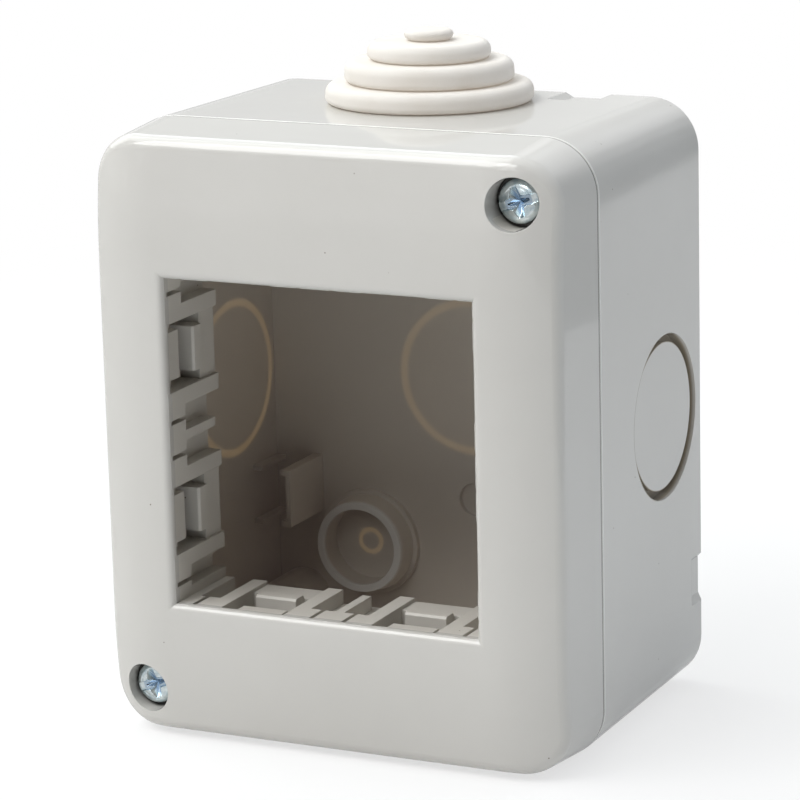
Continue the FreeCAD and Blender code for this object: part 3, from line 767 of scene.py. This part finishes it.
@dataclass
class WallBox:
    """The moulded box on the wall, with thin-web entries in its sides and back."""

    finish: GlossPlastic
    node: str = "back_box"
    wall: float = 2.3 * MM
    back_wall: float = 2.5 * MM
    hollow_floor: float = 0.6  # share of the back wall, for the marks in it
    entry_radius: float = 11.4 * MM
    rear_radius: float = 11.35 * MM
    groove: float = 1.2 * MM
    groove_height: float = 0.8  # share of the side wall at the groove's lit bottom
    # painted highlight: a lighter strip just behind the box's front rim
    rim_strip: Pair = (0.45 * MM, 0.3 * MM)  # behind the front rim
    rim_clear: float = 0.9  # share of the outer size that has no strip
    rim_highlight_colour: Colour = (0.80, 0.79, 0.76)
    cup: Pair = (16.8 * MM, 25.7 * MM)  # X and Z of the upper one
    cup_radius: float = 6.7 * MM
    cup_height: float = 4.0 * MM
    # painted highlight: the top of each cup's rim is painted lighter
    cup_lip: float = 0.9 * MM
    cup_rim_highlight: Colour = (0.70, 0.69, 0.65)
    cup_ring: float = 1.65 * MM
    cup_groove: float = 0.7 * MM
    # painted glows, as emission: light through the thin rings, discs and cups, and on the outer groove's
    # wall
    ring_glow: Colour = (0.075, 0.048, 0.020)
    groove_glow: Colour = (0.075, 0.067, 0.054)
    rear_light: float = 0.8
    cup_light: float = 0.9
    disc_light: float = 0.1
    half_width: float = field(init=False)
    half_height: float = field(init=False)
    depth: float = field(init=False)

    def __post_init__(self) -> None:
        """Take the outer sizes from the solid."""
        low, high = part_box(self.node)
        self.half_width, self.half_height, self.depth = map(nominal, (high.x, high.z, -low.y))

    def entry_lean(self) -> float:
        """How far the drafted walls have come in at the middle of the entries."""
        return (self.depth - ENTRY_STATION) * math.tan(BOX_DRAFT)

    def cups(self) -> list[Pair]:
        """X and Z of the two wall-screw cups."""
        return [(sign * self.cup[0], sign * self.cup[1]) for sign in (-1.0, 1.0)]

    def webs(self) -> list[ThinWeb]:
        """The rings of thin wall at the entries and in the wall-screw cups.

        Returns:
            The rings of both sides, of the outer groove that shows, of the bottom, the back and the cups.
        """
        side = self.half_width - self.entry_lean() - self.wall
        end = self.half_height - self.entry_lean() - self.wall
        ring, rear = self.entry_radius - self.groove / 2, self.rear_radius - self.groove / 2
        across = (-ENTRY_STATION, 0.0)
        lit = dict(radius=ring, width=self.groove, colour=self.ring_glow, disc=self.disc_light)
        return [
            ThinWeb(0, -side, across, **lit),
            ThinWeb(0, side, across, **lit),
            # painted glow on the wall of the outer groove on the right side
            ThinWeb(0, side + self.groove_height * self.wall, across, ring, self.groove, self.groove_glow),
            ThinWeb(2, -end, across[::-1], **lit),
            ThinWeb(1, -self.back_wall, (0.0, 0.0), rear, self.groove, self.ring_glow, self.rear_light,
                    self.disc_light),
            *(ThinWeb(1, -self.back_wall, cup, self.cup_ring, self.cup_groove, self.ring_glow,
                      self.cup_light) for cup in self.cups()),
        ]

    def hollow(self) -> LitHollow:
        """The inside of the box."""
        return LitHollow(self.half_width - self.wall, self.half_height - self.wall, self.depth,
                         self.hollow_floor * self.back_wall, math.tan(BOX_DRAFT))

    def build(self) -> bpy.types.Object:
        """Dress the solid of the box.

        Returns:
            The solid's object.
        """
        item = frame["nodes"][self.node]
        middle = self.entry_radius - self.groove / 2
        lip = self.back_wall + self.cup_height
        clear = (self.rim_clear * self.half_width, self.rim_clear * self.half_height)
        # painted highlight behind the rim, painted shade in the entry grooves, painted highlight on the
        # cups' tops
        joints = [
            SeamShade(tuple(self.depth - end for end in self.rim_strip), clear, self.rim_highlight_colour),
            *(GrooveShade(axis, level, self.depth, middle, self.groove)
              for axis, level in ((0, self.half_width), (2, self.half_height))),
            *(RecessShade(cup, self.cup_radius, (lip - self.cup_lip, lip), self.cup_rim_highlight)
              for cup in self.cups()),
        ]
        dress(item, self.finish.material(self.hollow(), joints, self.webs()))
        return item


class ScrewPlace(Enum):
    """The two corners that carry a cover screw: name, and turn of the slot in degrees."""

    UPPER = ("upper", 17.0)
    LOWER = ("lower", 19.0)

    def seat(self) -> tuple[float, float, float]:
        """Where the screw's axis meets the seat of its head, which the frame gives with its joint."""
        name = f"screw_{self.value[0]}_turn"
        return next(tuple(joint["pos_m"]) for joint in frame["joints"] if joint["name"] == name)


@dataclass
class FrontCover:
    """The screwed cover with the device opening and the clip lattice behind its edge."""

    finish: GlossPlastic
    box: WallBox
    node: str = "front_cover"
    clip_room: Pair = (28.0 * MM, 33.0 * MM)  # half width and half height
    clip_depth: float = 1.6 * MM  # behind the front
    seam_strip: Pair = (0.45 * MM, 0.25 * MM)  # in front of the box
    # painted shadow in the joint; it also darkens the cover's rear rim and tongue
    seam_shadow_colour: Colour = (0.08, 0.074, 0.065)
    recess_radius: float = 3.45 * MM
    recess_strip: Pair = (0.9 * MM, 0.1 * MM)  # over the recess's floor

    def recess(self, place: ScrewPlace) -> RecessShade:
        """The painted shade at the bottom of the screw recess in one corner."""
        x, y, z = place.seat()
        return RecessShade((x, z), self.recess_radius, tuple(end - y for end in self.recess_strip))

    def build(self) -> bpy.types.Object:
        """Dress the solid of the cover.

        Returns:
            The solid's object.
        """
        item = frame["nodes"][self.node]
        front = nominal(-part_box(self.node)[0].y)
        clips = LitHollow(*self.clip_room, front - self.clip_depth)
        seam = tuple(self.box.depth + end for end in self.seam_strip)
        # painted shadow at the joint and painted shade deep in the screw recesses
        joints = [SeamShade(seam, self.clip_room, self.seam_shadow_colour), *map(self.recess, ScrewPlace)]
        dress(item, self.finish.material(clips, joints))
        return item


@dataclass
class CableGrommet:
    """The stepped grommet in the upper entry: four soft tiers, a neck and a collar inside the box."""

    finish: SoftRubber
    box: WallBox
    name: str = "stepped_grommet"
    node: str = "cable_grommet"
    body: str = "box"
    slot: str = "soft_rubber"
    radii: tuple[float, ...] = (14.3 * MM, 11.65 * MM, 8.5 * MM, 3.45 * MM)
    levels: tuple[float, ...] = (2.8 * MM, 5.85 * MM, 8.35 * MM, 9.85 * MM)
    tier_round: float = 1.35 * MM
    nub_round: float = 0.75 * MM
    root_round: float = 0.8 * MM
    crease: float = 0.1 * MM
    crease_depth: float = 1.0 * MM
    tier_draft: float = 0.14 * MM
    neck: float = 11.25 * MM
    wall: float = 1.4 * MM
    box_wall: float = 2.45 * MM
    collar_rim: float = 0.6 * MM
    collar: float = 1.6 * MM
    inner_rounds: tuple[float, ...] = (  # from the foot's underside, round the collar, to the roof inside
        0.1 * MM, 0.1 * MM, 0.3 * MM, 0.5 * MM, 0.3 * MM, 0.4 * MM, 0.3 * MM, 0.4 * MM)
    steps: int = 168
    arc_steps: int = 9
    spacing: float = 0.3 * MM

    def profile(self) -> np.ndarray:
        """Half section from the top of the nub, down outside, and back up inside to the roof.

        Each tier is a short wall, a little narrower at its top, with a rounded upper and lower edge and a
        fine crease where it stands on the tier below.

        Returns:
            Points as rows of radius and height.
        """
        nub = len(self.radii) - 1
        corners, rounds = [(0.0, self.levels[nub])], []
        for index in range(nub, -1, -1):
            low = self.levels[index - 1] if index else 0.0
            rim, root = self.radii[index], self.radii[index] - self.crease_depth
            corners += [(rim - self.tier_draft, self.levels[index]), (rim, low + self.crease),
                        (root, low + self.crease), (root, low)]
            rounds += [self.nub_round if index == nub else self.tier_round, self.root_round,
                       0.3 * self.crease, 0.3 * self.crease]
        bore, collar = self.neck - self.wall, self.neck + self.collar_rim
        under, foot = -self.box_wall, -self.box_wall - self.collar
        room = self.radii[2] - self.wall
        low_roof, roof = (level - self.wall for level in self.levels[1:3])
        corners += [(self.neck, 0.0), (self.neck, under), (collar, under), (collar, foot), (bore, foot),
                    (bore, low_roof), (room, low_roof), (room, roof), (0.0, roof)]
        return rounded_line(np.array(corners), np.array([*rounds, *self.inner_rounds]), self.arc_steps,
                            self.spacing)

    def build(self) -> bpy.types.Object:
        """Turn the half section about the entry's axis, lean it with the drafted wall and dress it.

        Returns:
            The new piece.
        """
        line = self.profile()
        points = turned_points(line[:, 0], line[:, 1], self.steps)
        lean = np.array(Matrix.Rotation(-BOX_DRAFT, 3, "X"))
        points = points @ lean.T + (0.0, -ENTRY_STATION, self.box.half_height - self.box.entry_lean())
        item = mesh_object(self.name, points, turned_faces(len(line) - 2, self.steps), sharp=40.0)
        dress(item, self.finish.material())
        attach(item, self.body)
        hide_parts(self.node)
        return item


@dataclass
class CoverScrew:
    """A pan-head screw with a slot and a cross in its head, and a threaded shank."""

    place: ScrewPlace
    finish: ZincSteel
    slot: str = "zinc_steel"
    head_radius: float = 2.95 * MM
    head_height: float = 2.1 * MM
    head_edge: float = 1.05 * MM
    crown: float = 0.3 * MM
    slot_width: float = 1.4 * MM
    slot_depth: float = 0.75 * MM
    slot_slope: float = 5.0
    cross_reach: float = 2.1 * MM
    cross_width: float = 2.1 * MM
    cross_depth: float = 1.5 * MM
    cross_slope: float = 1.4
    arm_shares: Pair = (0.3, 0.2)  # half an arm at its end, and gain in the middle
    shank_radius: float = 1.75 * MM
    root_radius: float = 1.32 * MM
    pitch: float = 1.3 * MM
    neck: float = 1.2 * MM
    shank: float = 18.0 * MM
    tip: float = 1.2 * MM
    tip_loss: float = 0.55  # share of the radius that is gone at the tip
    ridge_shape: Pair = (1.35, 0.25)  # gain of the thread's wave, and what its flat root takes off
    steps: int = 240
    top_rows: int = 78
    edge_rows: int = 13
    side_rows: int = 4
    shank_rows: int = 170

    def head(self, angle: np.ndarray) -> tuple[np.ndarray, np.ndarray]:
        """Rows of the head, from its middle over the crowned top and down its side.

        The uncut height is a shallow crown with a rounded shoulder. The slot is a straight channel, and
        the two arms of the cross have sloping flanks and a floor that falls towards the middle. A cut is
        the smaller of its floor's depth and its flank's slope times the distance from its edge; the cut
        depth is the largest of the three.

        Args:
            angle: angle of each step round the head.

        Returns:
            Radius and height of each row and step.
        """
        flat_radius = self.head_radius - self.head_edge
        shoulder = np.linspace(0.0, math.pi / 2, self.edge_rows + 1)[1:]
        flat = np.linspace(0.0, flat_radius, self.top_rows)
        bend = flat_radius + self.head_edge * np.sin(shoulder)
        radius = np.concatenate([flat, bend, np.full(self.side_rows, self.head_radius)])
        top = self.head_height - self.crown * (flat / flat_radius) ** 2
        fall = self.head_height - self.crown - self.head_edge * (1.0 - np.cos(shoulder))
        side = np.linspace(fall[-1], 0.0, self.side_rows + 1)[1:]
        height = np.concatenate([top, fall, side])
        r, h = radius[:, None] + 0.0 * angle, height[:, None] + 0.0 * angle
        along, beside = np.abs(r * np.cos(angle)), np.abs(r * np.sin(angle))
        inside = np.clip(self.slot_width / 2 - beside, 0.0, None)
        cut = np.minimum(self.slot_depth, self.slot_slope * inside)
        end_share, gain = self.arm_shares
        for far, near in ((along, beside), (beside, along)):
            inward = np.clip(1.0 - far / self.cross_reach, 0.0, 1.0)
            half_arm = self.cross_width * (end_share + gain * inward)
            flank = self.cross_slope * np.clip(half_arm - near, 0.0, None)
            cut = np.maximum(cut, np.minimum(flank, self.cross_depth * np.sqrt(inward)))
        return r, np.where(cut > 0.0, np.minimum(h, self.head_height - cut), h)

    def stem(self, angle: np.ndarray) -> tuple[np.ndarray, np.ndarray]:
        """Rows of the shank, from under the head to the tip.

        The thread is a triangle wave of the height in pitches plus the angle in turns, cut off flat at the
        root and the crest, which fades in below the neck and narrows with the tapered tip.

        Args:
            angle: angle of each step round the shank.

        Returns:
            Radius and height of each row and step.
        """
        depth = np.linspace(0.0, self.shank, self.shank_rows)[:, None]
        wave = np.abs(((depth / self.pitch + angle / (2.0 * math.pi)) % 1.0) * 2.0 - 1.0)
        grown = eased(depth, self.neck, self.neck + self.pitch)
        taper = 1.0 - self.tip_loss * eased(depth, self.shank - self.tip, self.shank)
        gain, root = self.ridge_shape
        ridge = np.clip(gain * wave - root, 0.0, 1.0) * grown
        radius = (self.root_radius + (self.shank_radius - self.root_radius) * ridge) * taper
        return radius, -depth + 0.0 * angle

    def build(self) -> bpy.types.Object:
        """Set the rows together, turn the screw to its place in the cover and dress it.

        Returns:
            The new piece.
        """
        label, turn = self.place.value
        x, y, z = self.place.seat()
        angle = turn_angles(self.steps)
        (head_radius, head_height), (stem_radius, stem_height) = self.head(angle), self.stem(angle)
        end = np.zeros((1, self.steps))
        radius = np.concatenate([head_radius, stem_radius, end])
        height = np.concatenate([head_height, stem_height, end - self.shank])
        local = turned_points(radius, height, self.steps)
        cos, sin = math.cos(math.radians(turn)), math.sin(math.radians(turn))
        points = np.stack([
            x + local[:, 0] * cos - local[:, 1] * sin,
            y - local[:, 2],
            z + local[:, 0] * sin + local[:, 1] * cos,
        ], axis=1)
        faces = turned_faces(len(radius) - 2, self.steps)
        item = mesh_object(f"pan_head_screw_{label}", points, faces, sharp=50.0)
        dress(item, self.finish.material((x, z), y - self.head_height))
        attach(item, f"screw_{label}")
        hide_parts(f"cover_screw_{label}")
        return item


def direction(azimuth: float, elevation: float) -> Vector:
    """Unit vector towards an azimuth, from straight ahead to the right, and an elevation, in degrees."""
    turn, rise = math.radians(azimuth), math.radians(elevation)
    return Vector((math.sin(turn) * math.cos(rise), -math.cos(turn) * math.cos(rise), math.sin(rise)))


@dataclass(frozen=True)
class SoftBox:
    """A square area lamp that faces the object.

    Attributes:
        name: name of the lamp.
        azimuth: direction in degrees, from straight ahead towards the right.
        elevation: height over the floor in degrees.
        power: power in watts.
        colour: colour of the light.
        size: length of a side.
        distance: distance from the object.
        in_gloss: whether gloss shows the lamp itself.
    """

    name: str
    azimuth: float
    elevation: float
    power: float
    colour: Colour = WHITE
    size: float = 0.9
    distance: float = 1.6
    in_gloss: bool = True

    def hang(self) -> None:
        """Set the lamp in its place, facing the object."""
        lamp = bpy.data.lights.new(self.name, "AREA")
        lamp.size = self.size
        lamp.energy = self.power
        lamp.color = self.colour
        item = bpy.data.objects.new(self.name, lamp)
        item.visible_glossy = self.in_gloss
        item.location = self.distance * direction(self.azimuth, self.elevation)
        item.rotation_euler = (-item.location).to_track_quat("-Z", "Y").to_euler()
        bpy.context.scene.collection.objects.link(item)


@dataclass
class Studio:
    """Pale floor, soft lamps, white surroundings and the camera."""

    floor_level: float = nominal(CAD_BOX[0].z)
    floor_reach: float = 4.0
    floor_colour: Colour = (0.86, 0.86, 0.86)
    floor_white: float = 0.68  # share of plain white beside the object
    fade: Pair = (0.10, 0.32)  # where the floor goes over to plain white
    table_edge: Pair = (0.1785, 0.1770)  # X where gloss stops showing the floor
    floor_in_gloss: float = 0.60
    dark_in_gloss: float = 0.02
    low_in_gloss: float = 0.67
    low_rise: Pair = (-0.15, 0.45)  # lean of a direction to the upper left
    high_rise: Pair = (0.25, 0.5)  # height of a direction
    blotch_scale: float = 5.0
    blotch_pull: float = 0.5
    blotch_edges: Pair = (0.4, 0.6)
    blotch_light: Pair = (0.97, 0.4)  # between the blotches, and what one adds
    azimuth: float = 26.12
    elevation: float = 13.70
    roll: float = -1.44
    distance: float = 516.6 * MM
    lens: float = 171.5
    sensor: float = 36.0
    clip: Pair = (0.01, 20.0)
    target: tuple[float, float, float] = (1.056 * MM, -28.23 * MM, 2.713 * MM)
    lamps: tuple[SoftBox, ...] = (
        SoftBox("key_lamp", -38.0, 49.0, 13.9),
        SoftBox("key_side_lamp", -6.0, 46.0, 4.0, size=0.5),
        SoftBox("front_lamp", -3.0, 27.0, 1.1, (1.0, 0.99, 0.98), 0.4),
        SoftBox("high_left_lamp", -88.0, 62.0, 6.8, (0.97, 1.0, 0.99)),
        SoftBox("left_lamp", -95.0, 30.0, 6.2, (0.94, 1.0, 0.98)),
        SoftBox("rear_left_lamp", -135.0, 42.0, 4.4, (0.86, 0.93, 1.0), 1.0),
        SoftBox("right_lamp", 115.0, 30.0, 7.7, (0.78, 0.87, 1.0), 1.5, in_gloss=False),
        SoftBox("rear_right_lamp", 150.0, 40.0, 3.4, (0.94, 0.97, 1.0), in_gloss=False),
        SoftBox("top_lamp", 0.0, 89.0, 7.7, (0.97, 1.0, 0.98), 1.6),
    )

    def lay_floor(self) -> None:
        """Lay a pale floor that keeps the object's shadow and fades to white away from it."""
        ticks = np.array([-1.0, 1.0]) * self.floor_reach
        x, y = np.meshgrid(ticks, ticks)
        points = np.stack([x.ravel(), y.ravel(), np.full(4, self.floor_level)], axis=1)
        item = mesh_object("pale_floor", points, [np.array([[0, 1, 3, 2]])], sharp=30.0)
        material, graph = new_material("pale_floor_finish")
        x, y, _ = graph.axes()
        away = apart(x, y).ramp(*self.fade)
        direct, gloss = graph.rays()
        shown = self.dark_in_gloss + (self.floor_in_gloss - self.dark_in_gloss) * x.ramp(*self.table_edge)
        matt = graph.node("ShaderNodeBsdfDiffuse", sockets={"Color": opaque(self.floor_colour)})
        white = graph.node("ShaderNodeEmission", sockets={
            "Color": opaque(WHITE), "Strength": direct + gloss * shown})
        share = direct.larger(gloss) * (self.floor_white + (1.0 - self.floor_white) * away)
        mixed = graph.node("ShaderNodeMixShader",
                           sockets={0: share, 1: matt.outputs["BSDF"], 2: white.outputs["Emission"]})
        graph.node("ShaderNodeOutputMaterial", sockets={"Surface": mixed.outputs["Shader"]})
        dress(item, material)

    def light_world(self) -> None:
        """White surroundings, which gloss shows darker low down and at the right, with faint blotches."""
        world = bpy.data.worlds.new("studio_world")
        world.use_nodes = True
        graph = NodeGraph(world.node_tree)
        towards = graph.node("ShaderNodeTexCoord").outputs["Generated"]
        x, _, z = graph.parts(towards)
        noise = graph.node("ShaderNodeTexNoise", sockets={
            "Vector": towards, "Scale": self.blotch_scale, "Detail": 3.0})
        blotch = Value(graph, noise.outputs[0])
        lean = (z - x + self.blotch_pull * blotch).ramp(*self.low_rise)
        low = (self.low_in_gloss - self.dark_in_gloss) * lean
        shown = self.dark_in_gloss + low + (1.0 - self.low_in_gloss) * z.ramp(*self.high_rise)
        between, added = self.blotch_light
        shown = shown * (between + added * blotch.ramp(*self.blotch_edges))
        direct, gloss = graph.rays()
        light = graph.node("ShaderNodeBackground", sockets={
            "Color": opaque(WHITE), "Strength": direct + shown * gloss})
        graph.node("ShaderNodeOutputWorld", sockets={"Surface": light.outputs["Background"]})
        bpy.context.scene.world = world

    def set_camera(self) -> None:
        """Set the camera at the given angles from its target, with a little roll about its view."""
        turn, roll = math.radians(self.azimuth), math.radians(self.roll)
        back = direction(self.azimuth, self.elevation)
        level = Vector((math.cos(turn), math.sin(turn), 0.0))
        upright = back.cross(level)
        right = level * math.cos(roll) + upright * math.sin(roll)
        up = upright * math.cos(roll) - level * math.sin(roll)
        camera = bpy.data.cameras.new("front_camera")
        camera.sensor_width = self.sensor
        camera.lens = self.lens
        camera.clip_start, camera.clip_end = self.clip
        item = bpy.data.objects.new("front_camera", camera)
        turned = Matrix((right, up, back)).transposed().to_4x4()
        item.matrix_world = Matrix.Translation(Vector(self.target) + back * self.distance) @ turned
        bpy.context.scene.collection.objects.link(item)
        bpy.context.scene.camera = item

    def build(self) -> None:
        """Lay the floor, light the scene and set the camera."""
        bpy.context.scene.view_settings.view_transform = "Standard"
        self.lay_floor()
        self.light_world()
        for lamp in self.lamps:
            lamp.hang()
        self.set_camera()


def main() -> None:
    """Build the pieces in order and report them."""
    logging.basicConfig(level=logging.INFO, format="%(message)s")
    Studio().build()
    plastic = GlossPlastic("box_plastic_finish", tint=(0.607, 0.592, 0.564), shade=(0.587, 0.572, 0.544))
    # the clip room behind the cover's edge gets its own painted shade
    cover_plastic = replace(plastic, name="cover_plastic_finish", inner_painted_shade=(0.605, 0.58, 0.535),
                            inner_gloss=0.45)
    box = WallBox(plastic)
    pieces = [
        box.build(),
        FrontCover(cover_plastic, box).build(),
        CableGrommet(SoftRubber(), box).build(),
        *(CoverScrew(place, ZincSteel()).build() for place in ScrewPlace),
    ]
    for piece in pieces:
        LOG.info("%s: %d faces", piece.name, len(piece.data.polygons))
    bpy.context.view_layer.update()


if __name__ == "__main__":
    main()
